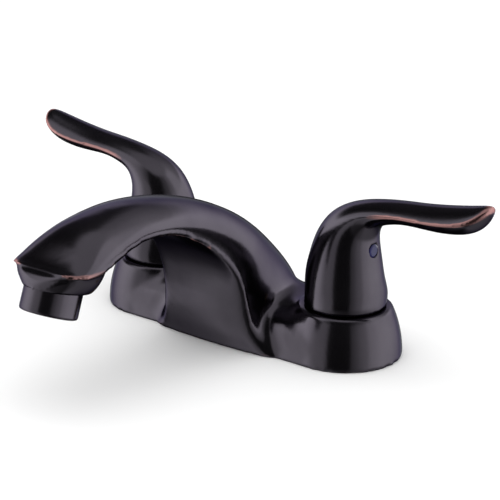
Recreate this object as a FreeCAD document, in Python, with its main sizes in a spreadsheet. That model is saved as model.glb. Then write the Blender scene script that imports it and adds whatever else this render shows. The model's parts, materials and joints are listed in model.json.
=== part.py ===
import FreeCAD, Part
import math
import os
import Sketcher
from FreeCAD import Placement, Rotation, Vector

# A two-handle centerset basin faucet, in millimetres.
# The origin lies on the deck, midway between the two handle axes.
# X runs from the hot handle to the cold one, the spout reaches towards -Y, and Z is up.

doc = FreeCAD.newDocument("bathroom_faucet")
sheet = doc.addObject("Spreadsheet::Sheet", "sizes")
LEVEL_TOLERANCE = 0.01

# Points along the curves of one section
ARCH_STEPS = 24
FACE_STEPS = 8
CROWN_STEPS = 16
LEVER_STEPS = 14


class Size:
    """A number together with the sheet expression that it comes from."""

    def __init__(self, value, text):
        self.value = float(value)
        self.text = text

    def __add__(self, other):
        other = as_size(other)
        return Size(self.value + other.value, f"({self.text} + {other.text})")

    def __sub__(self, other):
        other = as_size(other)
        return Size(self.value - other.value, f"({self.text} - {other.text})")

    def __mul__(self, other):
        other = as_size(other)
        return Size(self.value * other.value, f"({self.text} * {other.text})")

    def __truediv__(self, other):
        other = as_size(other)
        return Size(self.value / other.value, f"({self.text} / {other.text})")

    def __neg__(self):
        return Size(-self.value, f"(0 - {self.text})")

    __radd__ = __add__
    __rmul__ = __mul__


def as_size(number):
    return number if isinstance(number, Size) else Size(number, repr(float(number)))


def size(name, value):
    """Write one driving dimension into the sheet and return it."""
    size.row += 1
    sheet.set(f"A{size.row}", name)
    sheet.set(f"B{size.row}", str(value))
    sheet.setAlias(f"B{size.row}", name)
    return Size(value, f"sizes.{name}")


size.row = 0

# General sizes
hub_spacing = size("hub_spacing", 101.6)
hub_x = hub_spacing / 2
slide_gap = size("slide_gap", 0.1)
seat_gap = size("seat_gap", 0.02)
loose_gap = size("loose_gap", 0.3)
cut_overrun = size("cut_overrun", 1)

# Base casting
base_radius = size("base_radius", 25)
base_flank_radius = size("base_flank_radius", 51)
base_height = size("base_height", 22)
base_edge_radius = size("base_edge_radius", 2.2)
bar_height = size("bar_height", 12)
bar_inset = size("bar_inset", 1)
bar_edge_radius = size("bar_edge_radius", 4)
base_rim = size("base_rim", 2.6)
gasket_thickness = size("gasket_thickness", 3)
hub_bore = size("hub_bore", 26.4)

# Valve body and shank
shank_diameter = size("shank_diameter", 20.9)
shank_bottom = size("shank_bottom", -50)
shank_groove_top = size("shank_groove_top", -31)
shank_groove_width = size("shank_groove_width", 1.6)
shank_groove_depth = size("shank_groove_depth", 0.9)
inlet_bore = size("inlet_bore", 11)
shank_lead = size("shank_lead", 1)
shank_room = size("shank_room", 0.4)
seat_height = size("seat_height", 4)
chamber_diameter = size("chamber_diameter", 19)
barrel_rise = size("barrel_rise", 4)
barrel_top = base_height + barrel_rise
collar_diameter = size("collar_diameter", 22.4)
collar_length = size("collar_length", 4)
collar_top = barrel_top + collar_length

# Ring nut that clamps each valve body to its hub
ring_nut_diameter = size("ring_nut_diameter", 30)
ring_nut_height = size("ring_nut_height", 3.4)
ring_nut_slot = size("ring_nut_slot", 3)
ring_nut_slot_depth = size("ring_nut_slot_depth", 1)
ring_nut_floor = size("ring_nut_floor", 1)
RING_NUT_SLOTS = 6

# Cartridge
cartridge_wall = size("cartridge_wall", 1.3)
seal_height = size("seal_height", 2.2)
disc_thickness = size("disc_thickness", 3)
window_height = size("window_height", 6.5)
window_width = size("window_width", 8)
window_drop = size("window_drop", 0.5)
port_circle_share = size("port_circle_share", 0.52)
port_share = size("port_share", 0.56)
opening_share = size("opening_share", 0.9)
drive_slot_width = size("drive_slot_width", 3)
drive_slot_depth = size("drive_slot_depth", 1.2)
tongue_length = size("tongue_length", 10.8)
tongue_depth = size("tongue_depth", 1)
bonnet_flats = size("bonnet_flats", 19)
bonnet_height = size("bonnet_height", 5)
bonnet_top = collar_top + bonnet_height
stem_diameter = size("stem_diameter", 9)
stem_foot_height = size("stem_foot_height", 3)
oring_section = size("oring_section", 1.8)
oring_drop = size("oring_drop", 8)
oring_height = collar_top - oring_drop
oring_groove_share = size("oring_groove_share", 0.7)
oring_groove_width = size("oring_groove_width", 2.2)
clip_thickness = size("clip_thickness", 0.8)
clip_diameter = size("clip_diameter", 13)
clip_groove_depth = size("clip_groove_depth", 0.6)
clip_mouth = size("clip_mouth", 4.8)
spline_diameter = size("spline_diameter", 7.6)
spline_rise = size("spline_rise", 5)
spline_length = size("spline_length", 14)
spline_bottom = bonnet_top + spline_rise
spline_top = spline_bottom + spline_length
spline_depth = size("spline_depth", 0.5)
spline_gap_width = size("spline_gap_width", 1.1)
spline_lead = size("spline_lead", 1)
SPLINE_TEETH = 16

# Handle
handle_cavity_mouth = size("handle_cavity_mouth", 31.2)
handle_cavity_headroom = size("handle_cavity_headroom", 2.5)
handle_cavity_top = bonnet_top + handle_cavity_headroom
handle_cavity_roof = size("handle_cavity_roof", 24.4)
cavity_nut_room = size("cavity_nut_room", 1.5)
cavity_shoulder = size("cavity_shoulder", 2)
socket_room = size("socket_room", 0.6)
screw_rise = size("screw_rise", 8.5)
screw_height = spline_bottom + screw_rise
screw_diameter = size("screw_diameter", 4)
screw_length = size("screw_length", 6)
screw_socket = size("screw_socket", 2)
screw_socket_depth = size("screw_socket_depth", 2.5)
screw_point = size("screw_point", 1)
screw_chamfer = size("screw_chamfer", 0.4)
plug_diameter = size("plug_diameter", 5.7)
plug_depth = size("plug_depth", 2.6)
plug_face = size("plug_face", 14.2)
plug_chamfer = size("plug_chamfer", 0.3)
plug_dome = size("plug_dome", 0.6)

# Waterway between the valves and up the spout
tube_diameter = size("tube_diameter", 9.5)
tube_wall = size("tube_wall", 0.8)
tube_insertion = size("tube_insertion", 5)
tube_height = size("tube_height", 11)
tee_width = size("tee_width", 24)
tee_depth = size("tee_depth", 15)
tee_height = size("tee_height", 15)
tee_bottom = size("tee_bottom", 4.5)
casting_gap = size("casting_gap", 1)
nipple_bore_length = size("nipple_bore_length", 16)
nipple_wall = size("nipple_wall", 1.6)
nipple_foot_room = size("nipple_foot_room", 0.4)
nipple_top_room = size("nipple_top_room", 2)
nipple_groove_drop = size("nipple_groove_drop", 4)
nipple_groove_depth = size("nipple_groove_depth", 0.8)
waterway_diameter = size("waterway_diameter", 8.4)
waterway_heel_rise = size("waterway_heel_rise", 14)
waterway_knee_back = size("waterway_knee_back", 12)
waterway_knee_share = size("waterway_knee_share", 0.78)
waterway_arch_front = size("waterway_arch_front", 8)
waterway_arch_share = size("waterway_arch_share", 0.42)
waterway_mouth_share = size("waterway_mouth_share", 0.45)
waterway_bend_share = size("waterway_bend_share", 0.42)

# Aerator
aerator_tilt = size("aerator_tilt", 21)
aerator_setback = size("aerator_setback", 5.9)
aerator_drop = size("aerator_drop", 10.7)
aerator_diameter = size("aerator_diameter", 23.2)
aerator_exposed = size("aerator_exposed", 8.6)
aerator_thread_diameter = size("aerator_thread_diameter", 18.4)
aerator_rise = size("aerator_rise", 2.4)
aerator_thread_length = size("aerator_thread_length", 2.6)
aerator_wall = size("aerator_wall", 1.4)
aerator_washer = size("aerator_washer", 1.2)
aerator_lip = size("aerator_lip", 1.2)
aerator_edge = size("aerator_edge", 1)
aerator_edge_step = size("aerator_edge_step", 0.3)
aerator_shoulder = size("aerator_shoulder", 2)
insert_wall = size("insert_wall", 2.4)
insert_floor = size("insert_floor", 2)
insert_top = size("insert_top", 2.8)
insert_hole = size("insert_hole", 1.8)
insert_hole_share = size("insert_hole_share", 0.42)
INSERT_HOLES = 8
screen_thickness = size("screen_thickness", 0.6)
screen_dome = size("screen_dome", 0.4)
washer_width = size("washer_width", 2.4)

# Clamping parts under the deck
washer_diameter = size("washer_diameter", 36)
washer_thickness = size("washer_thickness", 2)
deck_thickness = size("deck_thickness", 12)
lock_nut_diameter = size("lock_nut_diameter", 31)
lock_nut_height = size("lock_nut_height", 9)
lock_nut_wing = size("lock_nut_wing", 47)
lock_nut_wing_width = size("lock_nut_wing_width", 5)
lock_nut_wing_taper = size("lock_nut_wing_taper", 0.8)
lock_nut_wing_root = size("lock_nut_wing_root", 4)
lock_nut_step = size("lock_nut_step", 2)
lock_nut_foot = size("lock_nut_foot", 3)

# Saddle that sweeps from the middle of the base up to each hub
saddle_inset = size("saddle_inset", 0.2)
saddle_roundness = size("saddle_roundness", 3.1)
saddle_middle_drop = size("saddle_middle_drop", 0.4)
saddle_waist_out = size("saddle_waist_out", 28)
saddle_waist_drop = size("saddle_waist_drop", 0.6)
saddle_hub_drop = size("saddle_hub_drop", 0.2)

# Spout, from its foot on the deck to its mouth: half width, then the edge under its side (Y and Z),
# the lean of the section from flat, the crown above that edge and the swell of the face below it
SPOUT_STATIONS = (
    (33.3, -25.0, 0.0, 0, 50.0, 3.5),
    (27.0, -28.3, 9.0, 8, 52.5, 3.5),
    (24.2, -30.1, 16.0, 14, 48.8, 3.4),
    (23.0, -31.5, 23.4, 20, 42.0, 3.0),
    (22.0, -35.6, 36.0, 33, 30.8, 1.5),
    (19.0, -45.0, 48.0, 52, 21.7, 0.0),
    (17.5, -56.0, 56.2, 68, 16.6, -1.0),
    (17.0, -72.0, 63.0, 80, 13.0, -1.5),
    (17.0, -86.0, 64.8, 90, 12.1, -1.5),
    (18.0, -99.0, 63.2, 90, 12.5, -1.0),
    (19.0, -110.0, 60.3, 90, 13.0, -0.5),
    (19.5, -118.0, 59.4, 90, 9.7, 0.0),
    (18.5, -124.5, 60.0, 90, 4.0, 0.0),
    (15.5, -129.0, 61.0, 90, 0.8, 0.0),
)
STATION_WORDS = ("half_width", "edge_y", "edge_z", "lean", "crown", "swell")
spout_stations = [
    {word: size(f"spout_{index}_{word}", value) for word, value in zip(STATION_WORDS, row)}
    for index, row in enumerate(SPOUT_STATIONS)
]
spout_roundness = size("spout_roundness", 2.2)
chin_half_width = size("chin_half_width", 17.2)
chin_depth = size("chin_depth", 25)
chin_setback = size("chin_setback", 0.6)
chin_rise = size("chin_rise", 2.6)
chin_step = size("chin_step", 0.4)
chin_seat_stretch = size("chin_seat_stretch", 2.0)
chin_seat_tilt = size("chin_seat_tilt", 15)
chin_roundness = size("chin_roundness", 3.2)
seat_roundness = size("seat_roundness", 2.1)
throat_share = size("throat_share", 0.45)
throat_setback = size("throat_setback", 1.4)
throat_half_width = size("throat_half_width", 15.6)
throat_half_depth = size("throat_half_depth", 13.4)
throat_tilt_share = size("throat_tilt_share", 0.7)
throat_roundness = size("throat_roundness", 2.5)

# Handle, from its skirt to the lever's tip: the back or top point (out from the handle's axis and up
# from the base's top), the front or under point, the half width across, and how sharp the side edges
# are (0.5 is an ellipse, 1 a lens)
LEVER_STATIONS = (
    (-17.66, 0.4, 17.66, 0.4, 17.66, 0.5),
    (-17.2, 11.0, 16.9, 11.0, 17.0, 0.5),
    (-15.6, 22.0, 15.2, 21.0, 15.2, 0.5),
    (-12.4, 31.5, 14.2, 28.0, 13.6, 0.5),
    (-6.0, 40.5, 14.6, 33.5, 11.8, 0.52),
    (3.0, 45.8, 17.0, 37.5, 10.4, 0.56),
    (14.0, 48.8, 22.0, 39.8, 9.6, 0.66),
    (26.0, 50.6, 30.0, 41.4, 9.4, 0.8),
    (39.0, 51.9, 41.0, 41.6, 9.8, 0.9),
    (52.0, 53.8, 53.0, 42.2, 10.0, 0.92),
    (61.0, 55.5, 63.0, 45.2, 8.8, 0.9),
    (66.5, 56.6, 67.8, 49.9, 5.8, 0.8),
    (69.0, 56.5, 69.5, 54.7, 1.8, 0.6),
)
LEVER_WORDS = ("back_out", "back_rise", "front_out", "front_rise", "half_width", "edge")
lever_stations = [
    {word: size(f"lever_{index}_{word}", value) for word, value in zip(LEVER_WORDS, row)}
    for index, row in enumerate(LEVER_STATIONS)
]

doc.recompute()


# Building blocks

def bind(obj, **values):
    """Set each property of an object from a size, by expression."""
    for name, value in values.items():
        obj.setExpression(name, as_size(value).text)


def new_body(name):
    body = doc.addObject("PartDesign::Body", name)
    body.Label = name
    return body


def origin_part(body, role):
    return [item for item in body.Origin.OriginFeatures if item.Role == role][0]


def new_sketch(body, name, role):
    plane = origin_part(body, role)
    sketch = body.newObject("Sketcher::SketchObject", name)
    sketch.AttachmentSupport = (plane, [""])
    sketch.MapMode = "FlatFace"
    return sketch


def pin_point(sketch, geometry, position, x, y):
    """Hold one point of a sketch at a place given by two sizes."""
    for kind, value in (("DistanceX", as_size(x)), ("DistanceY", as_size(y))):
        index = sketch.addConstraint(
            Sketcher.Constraint(kind, -1, 1, geometry, position, value.value))
        sketch.setExpression(f"Constraints[{index}]", value.text)


def draw_polygon(sketch, points):
    """Draw a closed outline of straight lines through points given by sizes."""
    corners = [Vector(as_size(x).value, as_size(y).value, 0) for x, y in points]
    first = sketch.GeometryCount
    count = len(points)
    for index in range(count):
        line = Part.LineSegment(corners[index], corners[(index + 1) % count])
        sketch.addGeometry(line, False)
    for index in range(count):
        following = first + (index + 1) % count
        sketch.addConstraint(Sketcher.Constraint("Coincident", first + index, 2, following, 1))
    for index, (x, y) in enumerate(points):
        pin_point(sketch, first + index, 1, x, y)


def draw_circle(sketch, x, y, diameter):
    radius = as_size(diameter) / 2
    centre = Vector(as_size(x).value, as_size(y).value, 0)
    circle = Part.Circle(centre, Vector(0, 0, 1), radius.value)
    index = sketch.addGeometry(circle, False)
    pin_point(sketch, index, 3, x, y)
    radius_index = sketch.addConstraint(Sketcher.Constraint("Radius", index, radius.value))
    sketch.setExpression(f"Constraints[{radius_index}]", radius.text)


def revolve(body, name, points, kind="PartDesign::Revolution"):
    """Turn an outline, drawn as radius and height, about the body's Z axis."""
    sketch = new_sketch(body, name + "_outline", "XZ_Plane")
    draw_polygon(sketch, points)
    feature = body.newObject(kind, name)
    feature.Profile = sketch
    feature.ReferenceAxis = (sketch, ["V_Axis"])
    feature.Angle = 360
    body.Tip = feature
    return feature


def pad(body, name, draw, bottom, height, kind="PartDesign::Pad"):
    """Pad or pocket an outline from one level up by a height."""
    sketch = new_sketch(body, name + "_outline", "XY_Plane")
    sketch.setExpression(".AttachmentOffset.Base.z", as_size(bottom).text)
    draw(sketch)
    feature = body.newObject(kind, name)
    feature.Profile = sketch
    bind(feature, Length=height)
    if kind == "PartDesign::Pocket":
        feature.Reversed = True
    body.Tip = feature
    return feature


def polar(body, name, feature, count):
    """Repeat a feature about the body's Z axis."""
    axis = origin_part(body, "Z_Axis")
    pattern = body.newObject("PartDesign::PolarPattern", name)
    pattern.Originals = [feature]
    pattern.Axis = (axis, [""])
    pattern.Angle = 360
    pattern.Occurrences = count
    body.Tip = pattern
    return pattern


def turned_piece(name, points):
    body = new_body(name)
    revolve(body, name + "_turning", points)
    return body


def place(obj, x, y, z):
    """Put a body at a place given by sizes."""
    for axis, value in zip("xyz", (x, y, z)):
        obj.setExpression(f".Placement.Base.{axis}", as_size(value).text)


def draw_stadium(sketch, half_spacing, radius):
    """Draw a slot outline along X with its end centres at half_spacing each side."""
    half = as_size(half_spacing)
    reach = as_size(radius)
    centre = half.value
    edge = reach.value
    top_line = Part.LineSegment(Vector(-centre, edge, 0), Vector(centre, edge, 0))
    bottom_line = Part.LineSegment(Vector(centre, -edge, 0), Vector(-centre, -edge, 0))
    top = sketch.addGeometry(top_line, False)
    bottom = sketch.addGeometry(bottom_line, False)
    right_circle = Part.Circle(Vector(centre, 0, 0), Vector(0, 0, 1), edge)
    left_circle = Part.Circle(Vector(-centre, 0, 0), Vector(0, 0, 1), edge)
    quarter = math.pi / 2
    right = sketch.addGeometry(Part.ArcOfCircle(right_circle, -quarter, quarter), False)
    left = sketch.addGeometry(Part.ArcOfCircle(left_circle, quarter, 3 * quarter), False)
    sketch.addConstraint([
        Sketcher.Constraint("Tangent", top, 2, right, 2),
        Sketcher.Constraint("Tangent", right, 1, bottom, 1),
        Sketcher.Constraint("Tangent", bottom, 2, left, 2),
        Sketcher.Constraint("Tangent", left, 1, top, 1),
    ])
    pin_point(sketch, right, 3, half, 0)
    pin_point(sketch, left, 3, -half, 0)
    for arc in (right, left):
        index = sketch.addConstraint(Sketcher.Constraint("Radius", arc, edge))
        sketch.setExpression(f"Constraints[{index}]", reach.text)


def on_hub(obj, side):
    """Stand a piece on the hot (-1) or cold (+1) hub, turned so that its +X points outwards."""
    turn = 0 if side > 0 else 180
    obj.Placement = Placement(Vector(0, 0, 0), Rotation(Vector(0, 0, 1), turn))
    obj.setExpression(".Placement.Base.x", (hub_x * side).text)


def ring_between(name, inner, outer, bottom, top):
    """A plain turned ring given by two diameters and two levels."""
    inner_radius = as_size(inner) / 2
    outer_radius = as_size(outer) / 2
    return turned_piece(name, [
        (inner_radius, bottom), (outer_radius, bottom), (outer_radius, top), (inner_radius, top)])


def closed_loft(sections):
    """A smooth solid through closed wires."""
    return Part.makeLoft(sections, True, False)


def spline_through(points):
    curve = Part.BSplineCurve()
    curve.interpolate(points)
    return curve.toShape()


# Base casting

def arch_points(power, steps):
    """Places across (1 to -1) and up (0 to 1) along half a superellipse."""
    points = []
    for step in range(steps + 1):
        angle = math.pi * step / steps
        across = math.copysign(abs(math.cos(angle)) ** power, math.cos(angle))
        rise = math.sin(angle) ** power if 0 < step < steps else 0
        points.append((across, rise))
    return points


def spout_section(station):
    """A crown over a face: the two meet in the sharp edges under the spout's sides."""
    half_width = station["half_width"].value
    lean = math.radians(station["lean"].value)
    up = Vector(0, math.cos(lean), math.sin(lean))
    edge = Vector(0, station["edge_y"].value, station["edge_z"].value)
    power = 2 / spout_roundness.value
    crown = []
    for across, rise in arch_points(power, CROWN_STEPS):
        crown.append(edge + Vector(half_width * across, 0, 0) + up * (station["crown"].value * rise))
    face = []
    for step in range(FACE_STEPS + 1):
        angle = math.pi * step / FACE_STEPS
        face.append(edge - Vector(half_width * math.cos(angle), 0, 0)
                    - up * (station["swell"].value * math.sin(angle)))
    return Part.Wire([spline_through(crown), spline_through(face)])


def oval(centre, half_width, half_depth, tilt, roundness):
    """A superellipse across X whose plane leans by tilt from level."""
    back = Vector(0, math.cos(tilt), -math.sin(tilt))
    power = 2 / roundness
    points = []
    for step in range(ARCH_STEPS):
        angle = 2 * math.pi * step / ARCH_STEPS
        across = math.copysign(abs(math.cos(angle)) ** power, math.cos(angle))
        along = math.copysign(abs(math.sin(angle)) ** power, math.sin(angle))
        points.append(centre + Vector(half_width * across, 0, 0) + back * (half_depth * along))
    curve = Part.BSplineCurve()
    curve.interpolate(points, PeriodicFlag=True)
    return Part.Wire([curve.toShape()])


tee_top = tee_bottom + tee_height
nipple_top = tee_top + nipple_bore_length - nipple_top_room
nipple_groove = nipple_top - nipple_groove_drop
lip = spout_stations[-1]
tilt = math.radians(aerator_tilt.value)
aerator_axis = Vector(0, math.sin(tilt), math.cos(tilt))
aerator_seat = Vector(0, lip["edge_y"].value + aerator_setback.value,
                      lip["edge_z"].value - aerator_drop.value)


def draw_flank(sketch, axis_x, height, inset):
    """Half of the bell: level foot, flank arc, flat top and the turning axis."""
    axis = as_size(axis_x)
    centre_x = axis + base_radius - base_flank_radius - inset
    radius = base_flank_radius.value
    end_angle = math.asin(height.value / radius)
    foot = Vector(centre_x.value + radius, 0, 0)
    shoulder = Vector(centre_x.value + radius * math.cos(end_angle), height.value, 0)
    axis_foot = Vector(axis.value, 0, 0)
    axis_top = Vector(axis.value, height.value, 0)
    circle = Part.Circle(Vector(centre_x.value, 0, 0), Vector(0, 0, 1), radius)
    outline = [
        Part.LineSegment(axis_foot, foot),
        Part.ArcOfCircle(circle, 0, end_angle),
        Part.LineSegment(shoulder, axis_top),
        Part.LineSegment(axis_top, axis_foot),
    ]
    for item in outline:
        sketch.addGeometry(item, False)
    sketch.addConstraint([
        Sketcher.Constraint("Coincident", 0, 2, 1, 1),
        Sketcher.Constraint("Coincident", 1, 2, 2, 1),
        Sketcher.Constraint("Coincident", 2, 2, 3, 1),
        Sketcher.Constraint("Coincident", 3, 2, 0, 1),
    ])
    pin_point(sketch, 0, 1, axis, 0)
    pin_point(sketch, 0, 2, centre_x + base_flank_radius, 0)
    pin_point(sketch, 1, 3, centre_x, 0)
    pin_point(sketch, 3, 1, axis, height)
    level = sketch.addConstraint(Sketcher.Constraint("DistanceY", -1, 1, 1, 2, height.value))
    sketch.setExpression(f"Constraints[{level}]", height.text)


def mirror(body, name, feature, role):
    """Repeat a feature on the other side of one of the body's own planes."""
    mirrored = body.newObject("PartDesign::Mirrored", name)
    mirrored.Originals = [feature]
    mirrored.MirrorPlane = (origin_part(body, role), [""])
    body.Tip = mirrored
    doc.recompute()
    return mirrored


def round_edges(body, name, feature, radius, wanted):
    """Round those edges of a feature that a test picks."""
    picked = [f"Edge{index + 1}" for index, edge in enumerate(feature.Shape.Edges) if wanted(edge)]
    rounded = body.newObject("PartDesign::Fillet", name)
    rounded.Base = (feature, picked)
    bind(rounded, Radius=radius)
    body.Tip = rounded
    doc.recompute()
    return rounded


def make_base_form():
    """A bar padded along X between two bells turned about the handle axes."""
    body = new_body("base_form")
    bar = new_sketch(body, "bar_outline", "YZ_Plane")
    draw_flank(bar, 0, bar_height, bar_inset)
    half_bar = body.newObject("PartDesign::Pad", "half_bar")
    half_bar.Profile = bar
    half_bar.Midplane = True
    bind(half_bar, Length=hub_spacing)
    body.Tip = half_bar
    doc.recompute()
    whole_bar = mirror(body, "whole_bar", half_bar, "XZ_Plane")
    round_edges(body, "bar_round", whole_bar, bar_edge_radius, lambda edge: (
        edge.BoundBox.XLength > hub_spacing.value / 2
        and abs(edge.CenterOfMass.z - bar_height.value) < LEVEL_TOLERANCE
        and abs(edge.CenterOfMass.y) > LEVEL_TOLERANCE))
    bell = new_sketch(body, "hub_outline", "XZ_Plane")
    draw_flank(bell, hub_x, base_height, as_size(0))
    hub = body.newObject("PartDesign::Revolution", "hub")
    hub.Profile = bell
    hub.ReferenceAxis = (bell, ["Edge4"])
    hub.Angle = 360
    body.Tip = hub
    doc.recompute()
    hubs = mirror(body, "hubs", hub, "YZ_Plane")
    round_edges(body, "rim_round", hubs, base_edge_radius, lambda edge: (
        abs(edge.CenterOfMass.z - base_height.value) < LEVEL_TOLERANCE
        and edge.BoundBox.ZLength < LEVEL_TOLERANCE and edge.BoundBox.YLength > base_radius.value))
    return body


def shape_object(name, shape):
    """A document object that holds a free-form shape."""
    feature = doc.addObject("Part::Feature", name)
    feature.Label = name
    feature.Shape = shape
    return feature


def saddle_section(out, drop):
    """A round-shouldered arch that stands across X on a level foot."""
    half_width = base_radius - saddle_inset
    height = base_height - drop
    points = [Vector(out.value, half_width.value * across, height.value * rise)
              for across, rise in arch_points(2 / saddle_roundness.value, ARCH_STEPS)]
    foot = Part.LineSegment(points[-1], points[0]).toShape()
    return Part.Wire([spline_through(points), foot])


def make_saddle_form():
    sections = [(-hub_x, saddle_hub_drop), (-saddle_waist_out, saddle_waist_drop),
                (as_size(0), saddle_middle_drop), (saddle_waist_out, saddle_waist_drop),
                (hub_x, saddle_hub_drop)]
    return shape_object("saddle_form", closed_loft([saddle_section(*each) for each in sections]))


def make_spout_form():
    return shape_object("spout_form", closed_loft([spout_section(s) for s in spout_stations]))


def make_chin_form():
    """The boss under the mouth, from a foot around the aerator up to a squarer oval at the lip."""
    seat_radius = aerator_diameter.value / 2 + chin_step.value
    seat_tilt = math.radians(chin_seat_tilt.value)
    seat_depth = seat_radius + chin_seat_stretch.value
    seat_front = aerator_seat - Vector(0, math.cos(tilt), -math.sin(tilt)) * seat_radius
    seat_centre = seat_front + Vector(0, math.cos(seat_tilt), -math.sin(seat_tilt)) * seat_depth
    seat = oval(seat_centre, seat_radius, seat_depth, seat_tilt, seat_roundness.value)
    throat_centre = (aerator_seat + aerator_axis * (aerator_drop.value * throat_share.value)
                     + Vector(0, throat_setback.value, 0))
    throat = oval(throat_centre, throat_half_width.value, throat_half_depth.value,
                  tilt * throat_tilt_share.value, throat_roundness.value)
    half_depth = chin_depth.value / 2
    crown = oval(Vector(0, lip["edge_y"].value + chin_setback.value + half_depth,
                        lip["edge_z"].value + chin_rise.value / 2),
                 chin_half_width.value, half_depth, -chin_rise.value / chin_depth.value,
                 chin_roundness.value)
    return shape_object("chin_form", closed_loft([seat, throat, crown]))


def cylinder(name, diameter, height, base=Vector(0, 0, 0), axis=Vector(0, 0, 1)):
    """A tool cylinder bound to its sizes."""
    tool = doc.addObject("Part::Cylinder", name)
    bind(tool, Radius=as_size(diameter) / 2, Height=height)
    tool.Placement = Placement(base, Rotation(Vector(0, 0, 1), axis))
    return tool


def waterway_form():
    """The passage up the spout: straight runs joined by arcs, from the base cavity to the mouth."""
    start = Vector(0, 0, tee_bottom.value + tee_height.value)
    outlet = aerator_seat + aerator_axis * (aerator_rise + aerator_thread_length).value
    turn = outlet + aerator_axis * (aerator_drop.value * waterway_mouth_share.value)
    arch = spout_stations[8]
    middle = Vector(0, arch["edge_y"].value - waterway_arch_front.value,
                    arch["edge_z"].value + arch["crown"].value * waterway_arch_share.value)
    bend = spout_stations[4]
    knee = Vector(0, bend["edge_y"].value + waterway_knee_back.value,
                  bend["edge_z"].value + bend["crown"].value * waterway_knee_share.value)
    heel = Vector(0, 0, base_height.value + waterway_heel_rise.value)
    corners = [start, heel, knee, middle, turn, outlet]
    wire = rounded_path(corners)
    profile = Part.Wire([Part.Circle(start, Vector(0, 0, 1), waterway_diameter.value / 2).toShape()])
    pipe = wire.makePipeShell([profile], True, False)
    return shape_object("waterway_form", pipe)


def rounded_path(corners):
    """Straight runs joined by tangent arcs that take a share of the shorter run beside each corner."""
    edges = []
    here = corners[0]
    for before, corner, after in zip(corners, corners[1:], corners[2:]):
        inwards = before - corner
        outwards = after - corner
        trim = waterway_bend_share.value * min(inwards.Length, outwards.Length)
        inwards.normalize()
        outwards.normalize()
        arc_start = corner + inwards * trim
        arc_end = corner + outwards * trim
        bisector = inwards + outwards
        bisector.normalize()
        half_angle = inwards.getAngle(outwards) / 2
        centre = corner + bisector * (trim / math.cos(half_angle))
        middle = centre - bisector * (trim * math.tan(half_angle))
        edges.append(Part.LineSegment(here, arc_start).toShape())
        edges.append(Part.Arc(arc_start, middle, arc_end).toShape())
        here = arc_end
    edges.append(Part.LineSegment(here, corners[-1]).toShape())
    return Part.Wire(edges)


def combine(kind, name, first, tools):
    """A fuse or a cut of whole objects."""
    result = doc.addObject(kind, name)
    if kind == "Part::Cut":
        result.Base = first
        result.Tool = tools
    else:
        result.Shapes = [first] + tools
        result.Refine = True
    return result


def make_faucet_body():
    """One casting: base with both hubs, spout and chin, opened for the valves and the waterway."""
    blank = combine("Part::MultiFuse", "casting_blank", make_base_form(),
                    [make_saddle_form(), make_spout_form(), make_chin_form()])
    recess = new_body("underside_recess")
    pad(recess, "recess", lambda sketch: draw_stadium(sketch, hub_x, base_radius - base_rim),
        0, gasket_thickness)
    tools = [recess, waterway_form()]
    for side, word in ((-1, "hot"), (1, "cold")):
        bore = cylinder(f"{word}_hub_bore", hub_bore, base_height + cut_overrun)
        bore.setExpression(".Placement.Base.x", (hub_x * side).text)
        tools.append(bore)
    channel = doc.addObject("Part::Box", "tube_channel")
    channel_width = tube_diameter + casting_gap * 3
    bind(channel, Length=hub_spacing, Width=channel_width,
         Height=tube_height + tube_diameter / 2 + casting_gap)
    place(channel, -hub_x, channel_width / -2, 0)
    tee_pocket = doc.addObject("Part::Box", "tee_pocket")
    bind(tee_pocket, Length=tee_width + casting_gap * 2, Width=tee_depth + casting_gap * 2,
         Height=tee_bottom + tee_height + casting_gap)
    place(tee_pocket, (tee_width + casting_gap * 2) / -2, (tee_depth + casting_gap * 2) / -2, 0)
    nipple_bore = cylinder("nipple_bore", tube_diameter + slide_gap * 2, nipple_bore_length)
    place(nipple_bore, 0, 0, tee_top - cut_overrun)
    mouth_bore = cylinder("mouth_bore", aerator_thread_diameter + slide_gap * 2,
                          aerator_rise + aerator_thread_length + aerator_washer, aerator_seat,
                          aerator_axis)
    mouth_end = aerator_seat - aerator_axis * aerator_exposed.value
    mouth_socket = cylinder("mouth_socket", aerator_diameter + slide_gap * 2,
                            aerator_rise + aerator_exposed, mouth_end, aerator_axis)
    tools += [channel, tee_pocket, nipple_bore, mouth_bore, mouth_socket]
    cavities = combine("Part::MultiFuse", "casting_cavities", tools[0], tools[1:])
    return combine("Part::Cut", "faucet_body", blank, cavities)


# Valves, one set on each hub

def make_valve_body(word, side):
    """Brass body: inlet shank below the deck, barrel in the hub, collar for the cartridge above."""
    shank = shank_diameter / 2
    groove = shank - shank_groove_depth
    barrel = hub_bore / 2 - slide_gap
    collar = collar_diameter / 2
    chamber = chamber_diameter / 2
    inlet = inlet_bore / 2
    groove_bottom = shank_groove_top - shank_groove_width
    body = turned_piece(f"{word}_valve_body", [
        (inlet, shank_bottom), (shank - shank_lead, shank_bottom), (shank, shank_bottom + shank_lead),
        (shank, groove_bottom), (groove, groove_bottom), (groove, shank_groove_top),
        (shank, shank_groove_top), (shank, gasket_thickness), (barrel, gasket_thickness),
        (barrel, barrel_top), (collar, barrel_top), (collar, collar_top), (chamber, collar_top),
        (chamber, seat_height), (inlet, seat_height)])
    outlet = new_sketch(body, "outlet_outline", "YZ_Plane")
    draw_circle(outlet, 0, tube_height, tube_diameter + slide_gap)
    port = body.newObject("PartDesign::Pocket", "outlet_port")
    port.Profile = outlet
    bind(port, Length=hub_bore)
    body.Tip = port
    on_hub(body, side)
    return body


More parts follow.
